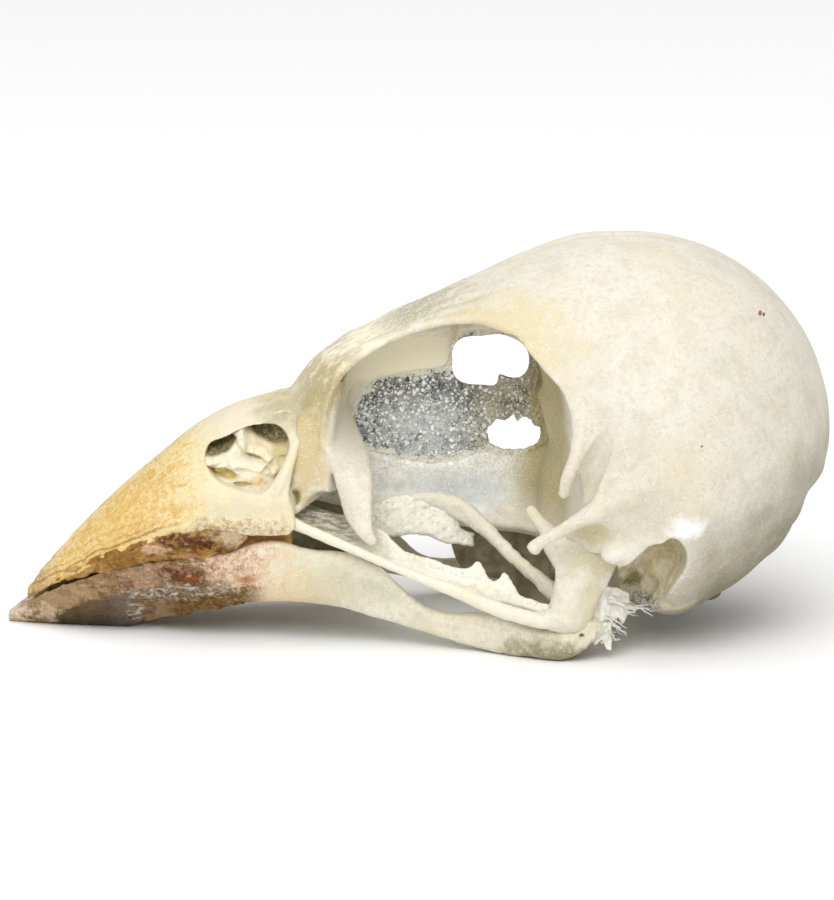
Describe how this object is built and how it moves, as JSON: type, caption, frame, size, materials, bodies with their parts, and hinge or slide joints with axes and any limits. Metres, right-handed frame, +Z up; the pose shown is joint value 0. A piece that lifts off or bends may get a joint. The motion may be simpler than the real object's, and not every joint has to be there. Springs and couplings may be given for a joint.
{
  "type": "songbird skull",
  "caption": "Cleaned skull of a small seed-eating songbird with its lower jaw, lying as it rests: round braincase, open eye sockets, cone-shaped bill with remains of horn.",
  "frame": {"origin": "on the ground under the middle of the skull's length and width", "axes": "+Z up; the bill points to -X and the back of the head to +X; the skull's left side faces -Y"},
  "size_m": [0.0301, 0.015, 0.0144],
  "materials": {
    "bone_white": "dry ivory-white bone, soft gloss",
    "bone_cream": "dry cream bone",
    "bone_grey": "thin grey bone, pitted and slightly see-through",
    "bill_bone": "yellow-stained bone of the upper bill",
    "horn_brown": "ragged brown horn",
    "horn_pink": "dry pink-grey horn"
  },
  "bodies": {
    "root": {"braincase": "bone_white", "frontal_roof": "bone_white", "interorbital_septum": "bone_grey", "parasphenoid_rostrum": "bone_cream", "upper_bill": "bill_bone", "lower_horn_tip": "horn_pink", "ectethmoid_left": "bone_cream", "nasal_concha_left": "bone_cream", "upper_horn_left": "horn_brown", "lower_horn_left": "horn_pink", "dentary_left": "bone_cream", "surangular_left": "bone_cream", "articular_left": "bone_cream", "jugal_bar_left": "bone_cream", "palatine_left": "bone_grey", "pterygoid_left": "bone_cream", "quadrate_left": "bone_cream", "ectethmoid_right": "bone_cream", "nasal_concha_right": "bone_cream", "upper_horn_right": "horn_brown", "lower_horn_right": "horn_pink", "dentary_right": "bone_cream", "surangular_right": "bone_cream", "articular_right": "bone_cream", "jugal_bar_right": "bone_cream", "palatine_right": "bone_grey", "pterygoid_right": "bone_cream", "quadrate_right": "bone_cream"}
  },
  "joints": []
}
